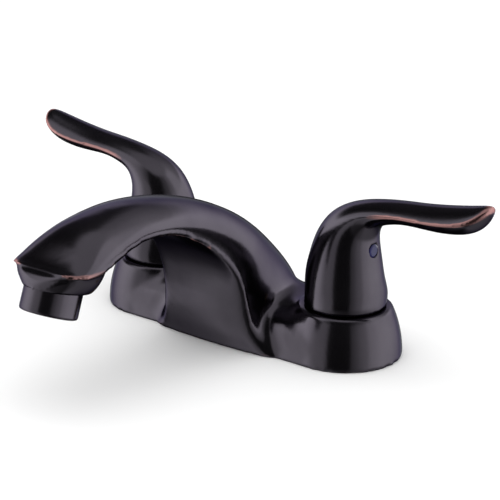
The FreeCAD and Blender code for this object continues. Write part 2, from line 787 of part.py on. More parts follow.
def make_ring_nut(word, side):
    body = ring_between(f"{word}_ring_nut", hub_bore, ring_nut_diameter,
                        base_height, base_height + ring_nut_height)
    inner = ring_nut_diameter / 2 - ring_nut_slot_depth
    outer = ring_nut_diameter / 2 + cut_overrun
    half = ring_nut_slot / 2
    slot = pad(body, "slot", lambda sketch: draw_polygon(sketch, [
        (inner, -half), (outer, -half), (outer, half), (inner, half)]),
        base_height + ring_nut_floor, ring_nut_height, "PartDesign::Pocket")
    polar(body, "slots", slot, RING_NUT_SLOTS)
    on_hub(body, side)
    return body


sleeve_radius = chamber_diameter / 2 - slide_gap
sleeve_bore = sleeve_radius - cartridge_wall
seal_top = seat_height + seal_height
fixed_disc_top = seal_top + disc_thickness
moving_disc_top = fixed_disc_top + disc_thickness
foot_top = moving_disc_top + stem_foot_height


def make_seat_seal(word, side):
    body = ring_between(f"{word}_seat_seal", inlet_bore, (sleeve_bore - slide_gap) * 2,
                        seat_height, seal_top)
    on_hub(body, side)
    return body


def make_fixed_disc(word, side):
    """Ceramic disc with two ports."""
    disc = sleeve_bore - slide_gap
    body = turned_piece(f"{word}_fixed_disc", [
        (0, seal_top), (disc, seal_top), (disc, fixed_disc_top), (0, fixed_disc_top)])
    port = pad(body, "port", lambda sketch: draw_circle(
        sketch, disc * port_circle_share, 0, disc * port_share),
        seal_top - cut_overrun, disc_thickness + cut_overrun * 2, "PartDesign::Pocket")
    polar(body, "ports", port, 2)
    on_hub(body, side)
    return body


def make_moving_disc(word, side):
    """Ceramic disc with two side openings and a slot on top for the stem."""
    disc = sleeve_bore - loose_gap
    bottom = fixed_disc_top
    body = turned_piece(f"{word}_moving_disc", [
        (0, bottom), (disc, bottom), (disc, moving_disc_top), (0, moving_disc_top)])
    opening = pad(body, "opening", lambda sketch: draw_circle(
        sketch, 0, disc * opening_share, disc * opening_share),
        bottom - cut_overrun, disc_thickness + cut_overrun * 2, "PartDesign::Pocket")
    polar(body, "openings", opening, 2)
    end = disc + cut_overrun
    half = drive_slot_width / 2
    pad(body, "drive_slot", lambda sketch: draw_polygon(sketch, [
        (-end, -half), (end, -half), (end, half), (-end, half)]),
        moving_disc_top - drive_slot_depth, drive_slot_depth + cut_overrun, "PartDesign::Pocket")
    on_hub(body, side)
    return body


def make_cartridge(word, side):
    """Brass cartridge: windowed sleeve around the discs, stem bore and a hexagonal head."""
    stem_bore = stem_diameter / 2 + slide_gap
    foot_room = foot_top + loose_gap
    body = turned_piece(f"{word}_cartridge", [
        (sleeve_bore, seat_height + loose_gap), (sleeve_radius, seat_height + loose_gap),
        (sleeve_radius, bonnet_top), (stem_bore, bonnet_top), (stem_bore, foot_room),
        (sleeve_bore, foot_room)])
    pad(body, "head", lambda sketch: draw_hexagon(sketch, bonnet_flats, stem_bore * 2),
        collar_top, bonnet_height)
    window = new_sketch(body, "window_outline", "YZ_Plane")
    half = window_width / 2
    low = fixed_disc_top - window_drop
    high = low + window_height
    draw_polygon(window, [(-half, low), (half, low), (half, high), (-half, high)])
    windows = body.newObject("PartDesign::Pocket", "windows")
    windows.Profile = window
    windows.Midplane = True
    bind(windows, Length=chamber_diameter)
    body.Tip = windows
    on_hub(body, side)
    return body


def draw_hexagon(sketch, flats, bore):
    """A hexagon across flats with a round hole, centred on the axis."""
    apothem = as_size(flats) / 2
    corner = apothem * (2 / math.sqrt(3))
    half = corner / 2
    draw_polygon(sketch, [
        (corner, 0), (half, apothem), (-half, apothem), (-corner, 0), (-half, -apothem),
        (half, -apothem)])
    draw_circle(sketch, 0, 0, bore)


def make_stem(word, side):
    """Stem with a drive foot below, an O-ring groove and a splined end above."""
    shaft = stem_diameter / 2
    foot = sleeve_bore - loose_gap
    spline = spline_diameter / 2
    foot_bottom = moving_disc_top + seat_gap
    groove = shaft - oring_section * oring_groove_share
    groove_low = oring_height - oring_groove_width / 2
    groove_high = oring_height + oring_groove_width / 2
    clip_groove = shaft - clip_groove_depth
    clip_low = bonnet_top + slide_gap
    clip_high = clip_low + clip_thickness + slide_gap
    body = turned_piece(f"{word}_stem", [
        (0, foot_bottom), (foot, foot_bottom), (foot, foot_top), (shaft, foot_top),
        (shaft, groove_low), (groove, groove_low), (groove, groove_high), (shaft, groove_high),
        (shaft, clip_low), (clip_groove, clip_low), (clip_groove, clip_high), (shaft, clip_high),
        (shaft, spline_bottom - spline_lead), (spline, spline_bottom), (spline, spline_top),
        (0, spline_top)])
    tongue = tongue_length / 2
    thick = drive_slot_width / 2 - slide_gap
    pad(body, "tongue", lambda sketch: draw_polygon(sketch, [
        (-tongue, -thick), (tongue, -thick), (tongue, thick), (-tongue, thick)]),
        moving_disc_top - tongue_depth, tongue_depth + stem_foot_height / 2)
    inner = spline - spline_depth
    outer = spline + spline_depth
    wide = spline_gap_width / 2
    flank = pad(body, "spline_gap", lambda sketch: draw_polygon(sketch, [
        (inner, 0), (outer, -wide), (outer, wide)]),
        spline_bottom, spline_top - spline_bottom + cut_overrun, "PartDesign::Pocket")
    polar(body, "spline_gaps", flank, SPLINE_TEETH)
    on_hub(body, side)
    return body


def make_oring(word, side):
    """Stem seal, a torus squeezed between the stem's groove and the cartridge's bore."""
    shaft = stem_diameter / 2
    ring = doc.addObject("Part::Torus", f"{word}_stem_oring")
    ring.Label = f"{word}_stem_oring"
    section = (oring_section * oring_groove_share + slide_gap) / 2 - seat_gap
    bind(ring, Radius1=shaft + slide_gap - section - seat_gap, Radius2=section)
    place(ring, hub_x * side, 0, oring_height)
    return ring


def make_stem_clip(word, side):
    """Snap ring that keeps the stem in its cartridge."""
    low = bonnet_top + slide_gap * 1.5
    half = clip_mouth / 2
    inner = stem_diameter - clip_groove_depth * 2 + slide_gap * 2
    body = ring_between(f"{word}_stem_clip", inner, clip_diameter, low, low + clip_thickness)
    pad(body, "mouth", lambda sketch: draw_polygon(sketch, [
        (0, -half), (clip_diameter, -half), (clip_diameter, half), (0, half)]),
        low - cut_overrun, clip_thickness + cut_overrun * 2, "PartDesign::Pocket")
    on_hub(body, side)
    return body


# Handles

def lever_section(station):
    """Two halves, back and front, that meet in a side edge; the edge sharpens along the lever."""
    back = Vector(station["back_out"].value, 0, (base_height + station["back_rise"]).value)
    front = Vector(station["front_out"].value, 0, (base_height + station["front_rise"]).value)
    centre = (back + front) * 0.5
    sharpness = station["edge"].value
    halves = []
    for target, direction in ((back, 1), (front, -1)):
        points = []
        for step in range(LEVER_STEPS + 1):
            angle = math.pi * step / LEVER_STEPS
            across = math.cos(angle) * direction
            rise = math.sin(angle) ** (2 * sharpness) if 0 < step < LEVER_STEPS else 0
            points.append(centre + Vector(0, station["half_width"].value * across, 0)
                          + (target - centre) * rise)
        halves.append(spline_through(points))
    return Part.Wire(halves)


plug_floor = plug_face - plug_depth


def make_handle(word, side):
    """Cast lever handle: hollow hub over the cartridge, splined socket and a leaf-shaped lever."""
    outer = shape_object(f"{word}_handle_form", closed_loft([lever_section(s) for s in lever_stations]))
    skirt = base_height + lever_stations[0]["back_rise"] - cut_overrun
    mouth = handle_cavity_mouth / 2
    roof = handle_cavity_roof / 2
    stem_hole = stem_diameter / 2 + loose_gap
    socket = spline_diameter / 2 + slide_gap
    cavity = turned_piece(f"{word}_handle_cavity", [
        (0, skirt), (mouth, skirt), (mouth, base_height + ring_nut_height + cavity_nut_room),
        (roof, handle_cavity_top - cavity_shoulder), (roof - cavity_shoulder, handle_cavity_top),
        (stem_hole, handle_cavity_top), (stem_hole, spline_bottom), (socket, spline_bottom + spline_lead),
        (socket, spline_top + socket_room), (0, spline_top + socket_room)])
    screw_hole = cylinder(f"{word}_screw_hole", screw_diameter + slide_gap, handle_cavity_mouth)
    plug_hole = cylinder(f"{word}_plug_hole", plug_diameter + slide_gap, handle_cavity_mouth)
    for hole, start in ((screw_hole, as_size(0)), (plug_hole, plug_floor)):
        hole.Placement = Placement(Vector(0, 0, 0), Rotation(Vector(0, 1, 0), 90))
        place(hole, start, 0, screw_height)
    openings = combine("Part::MultiFuse", f"{word}_handle_openings", cavity, [screw_hole, plug_hole])
    handle = combine("Part::Cut", f"{word}_handle", outer, openings)
    on_hub(handle, side)
    return handle


def make_set_screw(word, side):
    """Hexagon socket grub screw that bears on the stem's splines."""
    tip = spline_diameter / 2 + seat_gap
    radius = screw_diameter / 2
    body = turned_piece(f"{word}_set_screw", [
        (0, 0), (radius - screw_point, 0), (radius, screw_point), (radius, screw_length - screw_chamfer),
        (radius - screw_chamfer, screw_length), (0, screw_length)])
    corner = screw_socket / math.sqrt(3)
    pad(body, "socket", lambda sketch: draw_polygon(sketch, [
        (corner, 0), (corner / 2, screw_socket / 2), (corner / -2, screw_socket / 2), (-corner, 0),
        (corner / -2, screw_socket / -2), (corner / 2, screw_socket / -2)]),
        screw_length - screw_socket_depth, screw_socket_depth + cut_overrun, "PartDesign::Pocket")
    lay_outwards(body, side, tip, screw_height)
    return body


def make_index_plug(word, side):
    """Coloured button that closes the screw hole: red for hot, blue for cold."""
    radius = plug_diameter / 2
    body = turned_piece(f"{word}_index_plug", [
        (0, 0), (radius - plug_chamfer, 0), (radius, plug_chamfer), (radius, plug_depth - plug_chamfer),
        (radius - plug_dome, plug_depth), (0, plug_depth)])
    lay_outwards(body, side, plug_floor + seat_gap, screw_height)
    return body


def lay_outwards(obj, side, start, level):
    """Lay a turned piece along X, its foot at a distance from the hub's axis."""
    obj.Placement = Placement(Vector(0, 0, 0), Rotation(Vector(0, 1, 0), 90 * side))
    obj.setExpression(".Placement.Base.x", ((hub_x + start) * side).text)
    obj.setExpression(".Placement.Base.z", as_size(level).text)


# Waterway pieces in the base

def make_gasket():
    """Foam gasket that fills the recess and seals the base to the deck."""
    body = new_body("base_gasket")
    pad(body, "sheet", lambda sketch: draw_stadium(sketch, hub_x, base_radius - base_rim - slide_gap),
        0, gasket_thickness)
    holes = new_sketch(body, "shank_holes", "XY_Plane")
    draw_circle(holes, hub_x, 0, shank_diameter + shank_room)
    draw_circle(holes, -hub_x, 0, shank_diameter + shank_room)
    cut = body.newObject("PartDesign::Pocket", "holes")
    cut.Profile = holes
    cut.Reversed = True
    bind(cut, Length=gasket_thickness + cut_overrun)
    body.Tip = cut
    return body


tube_start = tee_width / 2 - tube_insertion
tube_end = hub_x - chamber_diameter / 2 - loose_gap


def make_cross_tube(word, side):
    body = new_body(f"{word}_cross_tube")
    sketch = new_sketch(body, "tube_outline", "YZ_Plane")
    sketch.setExpression(".AttachmentOffset.Base.z", tube_start.text)
    draw_circle(sketch, 0, tube_height, tube_diameter)
    draw_circle(sketch, 0, tube_height, tube_diameter - tube_wall * 2)
    run = body.newObject("PartDesign::Pad", "tube_run")
    run.Profile = sketch
    bind(run, Length=tube_end - tube_start)
    body.Tip = run
    if side < 0:
        body.Placement = Placement(Vector(0, 0, 0), Rotation(Vector(0, 0, 1), 180))
    return body


def make_tee():
    """Brass block that joins both tubes to the spout's nipple."""
    body = new_body("spout_tee")
    half = tee_width / 2
    deep = tee_depth / 2
    pad(body, "block", lambda sketch: draw_polygon(sketch, [
        (-half, -deep), (half, -deep), (half, deep), (-half, deep)]), tee_bottom, tee_height)
    across = new_sketch(body, "socket_outline", "YZ_Plane")
    draw_circle(across, 0, tube_height, tube_diameter + slide_gap)
    sockets = body.newObject("PartDesign::Pocket", "sockets")
    sockets.Profile = across
    sockets.Midplane = True
    bind(sockets, Length=tee_width + cut_overrun * 2)
    body.Tip = sockets
    pad(body, "nipple_socket", lambda sketch: draw_circle(sketch, 0, 0, tube_diameter + slide_gap),
        tube_height, tee_height, "PartDesign::Pocket")
    return body


def make_nipple():
    """Short tube from the tee up into the casting's waterway, with a groove for its seal."""
    outer = tube_diameter / 2
    inner = outer - nipple_wall
    bottom = tube_height + tube_diameter / 2 + nipple_foot_room
    groove_top = nipple_groove + oring_section
    deep = outer - nipple_groove_depth
    return turned_piece("spout_nipple", [
        (inner, bottom), (outer, bottom), (outer, nipple_groove), (deep, nipple_groove),
        (deep, groove_top), (outer, groove_top), (outer, nipple_top), (inner, nipple_top)])


def make_nipple_oring():
    ring = doc.addObject("Part::Torus", "spout_nipple_oring")
    ring.Label = "spout_nipple_oring"
    section = (nipple_groove_depth + slide_gap) / 2 - seat_gap
    bind(ring, Radius1=tube_diameter / 2 + slide_gap - section - seat_gap, Radius2=section)
    place(ring, 0, 0, nipple_groove + oring_section / 2)
    return ring


# Aerator, turned about its own axis from the joint with the chin

def tilt_at_mouth(obj):
    obj.Placement = Placement(aerator_seat, Rotation(Vector(1, 0, 0), -aerator_tilt.value))
    return obj


def make_aerator_housing():
    """Plain shell standing in the chin's socket, with a threaded neck above it."""
    shell = aerator_diameter / 2
    neck = aerator_thread_diameter / 2
    bore = neck - aerator_wall
    lower = shell - aerator_wall
    bottom = -aerator_exposed
    shoulder = -aerator_shoulder
    neck_top = aerator_rise + aerator_thread_length
    return tilt_at_mouth(turned_piece("aerator_housing", [
        (lower - aerator_lip, bottom), (shell - aerator_edge, bottom),
        (shell - aerator_edge_step, bottom + aerator_edge_step), (shell, bottom + aerator_edge),
        (shell, aerator_rise - seat_gap), (neck, aerator_rise - seat_gap), (neck, neck_top),
        (bore, neck_top), (bore, shoulder), (lower, shoulder - aerator_edge_step),
        (lower, bottom + aerator_wall), (lower - aerator_lip, bottom + aerator_edge)]))


def make_aerator_insert():
    """Plastic flow straightener with a pattern of holes and a ring of air slots."""
    radius = aerator_diameter / 2 - aerator_wall - slide_gap
    inner = radius - insert_wall
    bottom = aerator_wall + slide_gap - aerator_exposed
    floor = bottom + insert_floor
    body = turned_piece("aerator_insert", [
        (0, bottom), (radius, bottom), (radius, -insert_top), (inner, -insert_top), (inner, floor),
        (0, floor)])
    hole_circle = radius * insert_hole_share
    hole = pad(body, "hole", lambda sketch: draw_circle(sketch, hole_circle, 0, insert_hole),
               bottom - cut_overrun, insert_floor + cut_overrun * 2, "PartDesign::Pocket")
    polar(body, "holes", hole, INSERT_HOLES)
    return tilt_at_mouth(body)


def make_aerator_screen():
    radius = aerator_thread_diameter / 2 - aerator_wall - slide_gap
    bottom = slide_gap * 2 - insert_top
    top = bottom + screen_thickness
    return tilt_at_mouth(turned_piece("aerator_screen", [
        (0, bottom), (radius, bottom), (radius, top), (0, top + screen_dome)]))


def make_aerator_washer():
    low = aerator_rise + aerator_thread_length + seat_gap
    outer = aerator_thread_diameter / 2
    inner = outer - washer_width
    high = low + aerator_washer - slide_gap
    return tilt_at_mouth(turned_piece("aerator_washer", [
        (inner, low), (outer, low), (outer, high), (inner, high)]))


# Clamping under the deck

nut_top = -deck_thickness - washer_thickness


def make_deck_washer(word, side):
    body = ring_between(f"{word}_deck_washer", shank_diameter + shank_room, washer_diameter,
                        nut_top, nut_top + washer_thickness)
    on_hub(body, side)
    return body


def make_lock_nut(word, side):
    """Moulded wing nut for the shank."""
    low = nut_top - lock_nut_height
    bore = shank_diameter / 2 + slide_gap
    hub = lock_nut_diameter / 2
    body = turned_piece(f"{word}_lock_nut", [
        (bore, low), (hub - lock_nut_foot, low), (hub - lock_nut_step, nut_top - lock_nut_foot),
        (hub, nut_top - lock_nut_step), (hub, nut_top), (bore, nut_top)])
    root = hub - lock_nut_wing_root
    tip = lock_nut_wing / 2
    half_root = lock_nut_wing_width / 2
    half_tip = half_root - lock_nut_wing_taper
    wing = pad(body, "wing", lambda sketch: draw_polygon(sketch, [
        (root, -half_root), (tip, -half_tip), (tip, half_tip), (root, half_root)]), low, lock_nut_height)
    polar(body, "wings", wing, 2)
    on_hub(body, side)
    return body


pieces = [make_faucet_body(), make_gasket(), make_tee(), make_nipple(), make_nipple_oring(),
          make_aerator_housing(), make_aerator_insert(), make_aerator_screen(), make_aerator_washer()]
for word, side in (("hot", -1), ("cold", 1)):
    for make in (make_valve_body, make_ring_nut, make_seat_seal, make_fixed_disc, make_moving_disc,
                 make_cartridge, make_stem, make_oring, make_stem_clip, make_handle, make_set_screw,
                 make_index_plug, make_cross_tube, make_deck_washer, make_lock_nut):
        pieces.append(make(word, side))

doc.recompute()

failed = [item.Label for item in doc.Objects if {"Invalid", "Error"} & set(item.State)]
if failed:
    raise ValueError("could not be built: " + ", ".join(failed))
for piece in pieces:
    if piece.Shape.isNull() or not piece.Shape.isValid() or not piece.Shape.Solids:
        raise ValueError(f"{piece.Label} has no valid solid")

os.makedirs("parts", exist_ok=True)
for piece in pieces:
    piece.Shape.exportStep(os.path.join("parts", piece.Label + ".step"))
    print(piece.Label, len(piece.Shape.Solids), round(piece.Shape.Volume, 1))
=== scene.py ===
import json
import math

import bmesh
import bpy
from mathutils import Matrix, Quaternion, Vector

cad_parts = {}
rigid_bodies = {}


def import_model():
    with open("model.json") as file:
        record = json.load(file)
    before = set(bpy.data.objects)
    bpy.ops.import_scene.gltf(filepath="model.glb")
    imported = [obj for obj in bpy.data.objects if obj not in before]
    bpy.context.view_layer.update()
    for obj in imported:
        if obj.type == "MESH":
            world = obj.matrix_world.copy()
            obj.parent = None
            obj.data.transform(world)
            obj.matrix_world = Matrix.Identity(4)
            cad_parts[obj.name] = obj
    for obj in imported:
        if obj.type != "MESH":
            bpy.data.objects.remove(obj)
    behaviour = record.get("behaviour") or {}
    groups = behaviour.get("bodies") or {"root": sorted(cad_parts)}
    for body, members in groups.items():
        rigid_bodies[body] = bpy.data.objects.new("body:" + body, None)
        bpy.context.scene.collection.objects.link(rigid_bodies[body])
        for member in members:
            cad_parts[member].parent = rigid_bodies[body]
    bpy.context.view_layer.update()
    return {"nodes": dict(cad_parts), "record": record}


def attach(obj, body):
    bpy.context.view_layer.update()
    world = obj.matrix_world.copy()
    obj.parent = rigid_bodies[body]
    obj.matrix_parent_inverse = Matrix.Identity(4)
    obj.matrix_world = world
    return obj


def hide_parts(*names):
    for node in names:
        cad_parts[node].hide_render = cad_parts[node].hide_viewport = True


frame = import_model()

HUB_X = 0.0508


def sloped(degrees):
    """A direction in the faucet's middle plane, from the back (0) to straight up (90)."""
    return Vector((0, math.cos(math.radians(degrees)), math.sin(math.radians(degrees))))


MOUTH = Vector((0, -0.1231, 0.0503))
FOOT_FRONT = MOUTH - sloped(-21) * 0.012
WATERWAY = [Vector((0, back, high)) for back, high in (
    (0, 0.0355), (-0.012, 0.0469), (-0.0165, 0.0519), (-0.021, 0.0557), (-0.0255, 0.0584),
    (-0.0305, 0.0604), (-0.036, 0.0617), (-0.0815, 0.0681), (-0.087, 0.0686), (-0.0925, 0.0685),
    (-0.098, 0.0677), (-0.104, 0.0657), (-0.1196, 0.0592))]


# Materials

def new_material(name):
    material = bpy.data.materials.new(name)
    material.use_nodes = True
    nodes = material.node_tree.nodes
    return material, nodes, material.node_tree.links, nodes["Principled BSDF"]


def add_grain(nodes, links, shader, scale, depth, low, high):
    """Fine unevenness in the gloss and a faint relief, from noise on Object coordinates."""
    place = nodes.new("ShaderNodeTexCoord")
    grain = nodes.new("ShaderNodeTexNoise")
    grain.inputs["Scale"].default_value = scale
    grain.inputs["Detail"].default_value = 3
    spread = nodes.new("ShaderNodeMapRange")
    spread.inputs["To Min"].default_value = low
    spread.inputs["To Max"].default_value = high
    relief = nodes.new("ShaderNodeBump")
    relief.inputs["Strength"].default_value = depth
    relief.inputs["Distance"].default_value = 0.0002
    links.new(place.outputs["Object"], grain.inputs["Vector"])
    links.new(grain.outputs["Fac"], spread.inputs["Value"])
    links.new(spread.outputs["Result"], shader.inputs["Roughness"])
    links.new(grain.outputs["Fac"], relief.inputs["Height"])
    links.new(relief.outputs["Normal"], shader.inputs["Normal"])
    return place, grain


def plain_finish(name, colour, metallic, low, high, scale=400, depth=0.15):
    """A finish with one colour that wanders a little in shade."""
    material, nodes, links, shader = new_material(name)
    _, grain = add_grain(nodes, links, shader, scale, depth, low, high)
    shader.inputs["Metallic"].default_value = metallic
    shades = nodes.new("ShaderNodeValToRGB")
    shades.color_ramp.elements[0].position = 0.3
    shades.color_ramp.elements[1].position = 0.7
    shades.color_ramp.elements[0].color = [part * 0.9 for part in colour] + [1]
    shades.color_ramp.elements[1].color = list(colour) + [1]
    links.new(grain.outputs["Fac"], shades.inputs["Fac"])
    links.new(shades.outputs["Color"], shader.inputs["Base Color"])
    return material


def bronze_finish():
    """Dark oil-rubbed bronze whose rubbed edges show copper, and the copper there is also a painted
    highlight.
    """
    material, nodes, links, shader = new_material("oil_rubbed_bronze")
    place, grain = add_grain(nodes, links, shader, 900, 0.012, 0.15, 0.21)
    shader.inputs["Metallic"].default_value = 1
    shader.inputs["Specular Tint"].default_value = (0.3, 0.305, 0.33, 1)
    cloud = nodes.new("ShaderNodeTexNoise")
    cloud.inputs["Scale"].default_value = 45
    cloud.inputs["Detail"].default_value = 4
    shades = nodes.new("ShaderNodeValToRGB")
    shades.color_ramp.elements[0].position = 0.35
    shades.color_ramp.elements[0].color = (0.104, 0.094, 0.114, 1)
    shades.color_ramp.elements[1].position = 0.65
    shades.color_ramp.elements[1].color = (0.122, 0.111, 0.132, 1)
    wear_and_highlight = nodes.new("ShaderNodeAttribute")
    wear_and_highlight.attribute_name = "worn_and_highlit_edge"
    scuff_and_highlight = nodes.new("ShaderNodeMath")
    scuff_and_highlight.operation = "MULTIPLY_ADD"
    scuff_and_highlight.use_clamp = True
    scuff_and_highlight.inputs[1].default_value = 1.3
    patchy = nodes.new("ShaderNodeMath")
    patchy.operation = "MULTIPLY_ADD"
    patchy.inputs[1].default_value = 0.5
    patchy.inputs[2].default_value = -0.45
    mix = nodes.new("ShaderNodeMix")
    mix.data_type = "RGBA"
    # Rubbed copper on the edges, made pink and bright enough to be a painted highlight along them as
    # well.
    mix.inputs["B"].default_value = (0.46, 0.25, 0.24, 1)
    links.new(place.outputs["Object"], cloud.inputs["Vector"])
    links.new(cloud.outputs["Fac"], shades.inputs["Fac"])
    links.new(cloud.outputs["Fac"], patchy.inputs[0])
    links.new(wear_and_highlight.outputs["Fac"], scuff_and_highlight.inputs[0])
    links.new(patchy.outputs["Value"], scuff_and_highlight.inputs[2])
    links.new(scuff_and_highlight.outputs["Value"], mix.inputs["Factor"])
    links.new(shades.outputs["Color"], mix.inputs["A"])
    links.new(mix.outputs["Result"], shader.inputs["Base Color"])
    return material


finishes = {
    "bronze_finish": bronze_finish(),
    "brass": plain_finish("machined_brass", (0.72, 0.5, 0.22), 1, 0.2, 0.34),
    "copper": plain_finish("drawn_copper", (0.72, 0.36, 0.22), 1, 0.22, 0.36),
    "stainless": plain_finish("turned_stainless", (0.62, 0.62, 0.63), 1, 0.2, 0.32),
    "ceramic": plain_finish("lapped_ceramic", (0.84, 0.82, 0.77), 0, 0.12, 0.2),
    "rubber": plain_finish("moulded_rubber", (0.03, 0.03, 0.03), 0, 0.55, 0.7),
    "foam": plain_finish("closed_cell_foam", (0.07, 0.07, 0.075), 0, 0.75, 0.9, 1500, 0.6),
    "white_plastic": plain_finish("white_acetal", (0.8, 0.8, 0.78), 0, 0.3, 0.42),
    "grey_plastic": plain_finish("grey_nylon", (0.1, 0.1, 0.105), 0, 0.45, 0.6),
    "index_red": plain_finish("red_index", (0.5, 0.02, 0.03), 0, 0.2, 0.3),
    "index_blue": plain_finish("blue_index", (0.02, 0.02, 0.09), 0, 0.12, 0.18),
}
for word in ("index_red", "index_blue"):
    index_shader = finishes[word].node_tree.nodes["Principled BSDF"]
    index_shader.inputs["Specular IOR Level"].default_value = 0.25


# Pieces

MERGE_DISTANCE = 0.000005
SPOUT_MESH, LEVER_MESH = 0.00075, 0.0006
MOUTH_RADIUS, PLUG_RADIUS = 0.0117, 0.01175
BORE_CREASE, PART_CREASE = math.radians(48), math.radians(35)
RIDGE_BEND, VALLEY_BEND = 0.07, -0.04
WALL_NEAR, WALL_FAR = 0.0037, 0.0047


def select_only(piece):
    """Make the piece the only selected and active one."""
    bpy.ops.object.select_all(action="DESELECT")
    piece.select_set(True)
    bpy.context.view_layer.objects.active = piece


def from_waterway(spot):
    """How far a place lies from the middle line of the waterway."""
    nearest = 1
    for start, end in zip(WATERWAY, WATERWAY[1:]):
        along = end - start
        share = min(1, max(0, (spot - start).dot(along) / along.length_squared))
        nearest = min(nearest, (spot - start - along * share).length)
    return nearest


def close_waterway(mesh):
    """Take the waterway's wall out of the skin and close the casting over it."""
    shape = bmesh.new()
    shape.from_mesh(mesh)
    beside = {vertex for vertex in shape.verts
              if WALL_NEAR < from_waterway(vertex.co) < WALL_FAR}
    wall = [face for face in shape.faces if all(vertex in beside for vertex in face.verts)]
    bmesh.ops.delete(shape, geom=wall, context="FACES")
    rims = [edge for edge in shape.edges if edge.is_boundary]
    covers = bmesh.ops.holes_fill(shape, edges=rims, sides=0)["faces"]
    bmesh.ops.triangulate(shape, faces=covers, ngon_method="BEAUTY")
    bmesh.ops.recalc_face_normals(shape, faces=shape.faces)
    shape.to_mesh(mesh)
    shape.free()


def cast_skin(name, node, voxel, smoothing, eased, plugs=(), closed=None):
    """The casting's outer skin, with its sharp edges eased as a polished casting's are.

    plugs are joined to it first, and closed mends its openings.
    """
    source = frame["nodes"][node]
    mesh = source.data.copy()
    piece = bpy.data.objects.new(name, mesh)
    bpy.context.collection.objects.link(piece)
    select_only(piece)
    bpy.ops.object.mode_set(mode="EDIT")
    bpy.ops.mesh.select_all(action="SELECT")
    bpy.ops.mesh.remove_doubles(threshold=MERGE_DISTANCE)
    bpy.ops.object.mode_set(mode="OBJECT")
    if closed:
        closed(piece.data)
    if plugs:
        for plug in plugs:
            plug.select_set(True)
        bpy.ops.object.join()
    remesh = piece.modifiers.new("even_mesh", "REMESH")
    remesh.mode = "VOXEL"
    remesh.voxel_size = voxel
    bpy.ops.object.modifier_apply(modifier=remesh.name)
    ease = piece.modifiers.new("eased_edges", "SMOOTH")
    ease.factor = 0.5
    ease.iterations = smoothing
    ease.vertex_group = group_of(piece, "eased", eased)
    bpy.ops.object.modifier_apply(modifier=ease.name)
    piece.vertex_groups.clear()
    bpy.ops.object.shade_smooth()
    piece.data.materials.clear()
    return piece


def group_of(piece, name, share):
    """A vertex group whose weight comes from each vertex's place."""
    group = piece.vertex_groups.new(name=name)
    for vertex in piece.data.vertices:
        group.add([vertex.index], share(vertex.co), "REPLACE")
    return group.name


def round_bar(name, radius, start, along, length):
    """A plain round bar from a point, along a direction."""
    bpy.ops.object.select_all(action="DESELECT")
    turned = Vector(along).to_track_quat("Z", "Y").to_euler()
    bpy.ops.mesh.primitive_cylinder_add(vertices=96, radius=radius, depth=length, rotation=turned,
                                        location=Vector(start) + Vector(along) * (length / 2))
    bar = bpy.context.object
    bar.name = name
    bpy.ops.object.transform_apply(location=True, rotation=True, scale=True)
    return bar


def bore(piece, drill):
    """Cut the drill's form out of the piece, leaving a crisp edge."""
    select_only(piece)
    cut = piece.modifiers.new("bore", "BOOLEAN")
    cut.operation = "DIFFERENCE"
    cut.solver = "EXACT"
    cut.object = drill
    bpy.ops.object.modifier_apply(modifier=cut.name)
    bpy.data.objects.remove(drill)
    select_only(piece)
    bpy.ops.object.shade_smooth_by_angle(angle=BORE_CREASE)


def neighbours(mesh):
    """The vertices that share an edge with each vertex."""
    beside = [[] for vertex in mesh.vertices]
    for edge in mesh.edges:
        first, second = edge.vertices
        beside[first].append(second)
        beside[second].append(first)
    return beside


def bend_of(mesh, beside, softening):
    """How sharply the skin bends at each vertex: outwards is positive, inwards negative."""
    spots = [vertex.co.copy() for vertex in mesh.vertices]
    bend = []
    for vertex, ring in zip(mesh.vertices, beside):
        middle = sum((spots[index] for index in ring), Vector()) / len(ring)
        reach = sum((spots[index] - vertex.co).length_squared for index in ring) / len(ring)
        bend.append((vertex.co - middle).dot(vertex.normal) / reach * 0.001)
    for turn in range(softening):
        bend = [(sum(bend[other] for other in ring) + value) / (len(ring) + 1)
                for value, ring in zip(bend, beside)]
    return bend


def fade(value, start, end):
    """0 at start, 1 at end, smooth between."""
    share = min(1, max(0, (value - start) / (end - start)))
    return share * share * (3 - 2 * share)


def true_ridges(piece, wanted, turns):
    """Run a casting's long edges true, by easing each edge point along its own edge."""
    mesh = piece.data
    beside = neighbours(mesh)
    bend = bend_of(mesh, beside, 3)
    ridge = {index for index, value in enumerate(bend)
             if value > RIDGE_BEND and wanted(mesh.vertices[index].co) > 0.5}
    along = {index: [other for other in beside[index] if other in ridge] for index in sorted(ridge)}
    for turn in range(turns):
        spots = {index: mesh.vertices[index].co.copy() for index in along}
        for index, line in along.items():
            if len(line) > 1:
                middle = sum((spots[other] for other in line), Vector()) / len(line)
                mesh.vertices[index].co = spots[index].lerp(middle, 0.5)


def blend_valleys(piece, wanted, rings, turns):
    """Fill the sharp valleys of a casting with the soft blend of its pattern."""
    mesh = piece.data
    beside = neighbours(mesh)
    bend = bend_of(mesh, beside, 2)
    weight = [0.0] * len(bend)
    front = [index for index, value in enumerate(bend)
             if value < VALLEY_BEND and wanted(mesh.vertices[index].co) > 0]
    seen = set(front)
    for ring in range(rings):
        for index in front:
            weight[index] = 1 - ring / rings
        front = [other for index in front for other in beside[index] if other not in seen]
        front = list(dict.fromkeys(front))
        seen.update(front)
    ridge = [fade(value, 0.05, 0.12) for value in bend]
    for turn in range(3):
        ridge = [max([ridge[other] * 0.75 for other in ring] + [value])
                 for value, ring in zip(ridge, beside)]
    group = piece.vertex_groups.new(name="valley")
    for index, value in enumerate(weight):
        if value > 0:
            keep = value * (1 - ridge[index]) * wanted(mesh.vertices[index].co)
            if keep > 0:
                group.add([index], keep, "REPLACE")
    select_only(piece)
    ease = piece.modifiers.new("valley_blend", "SMOOTH")
    ease.factor = 0.8
    ease.iterations = turns
    ease.vertex_group = "valley"
    bpy.ops.object.modifier_apply(modifier=ease.name)
    piece.vertex_groups.clear()


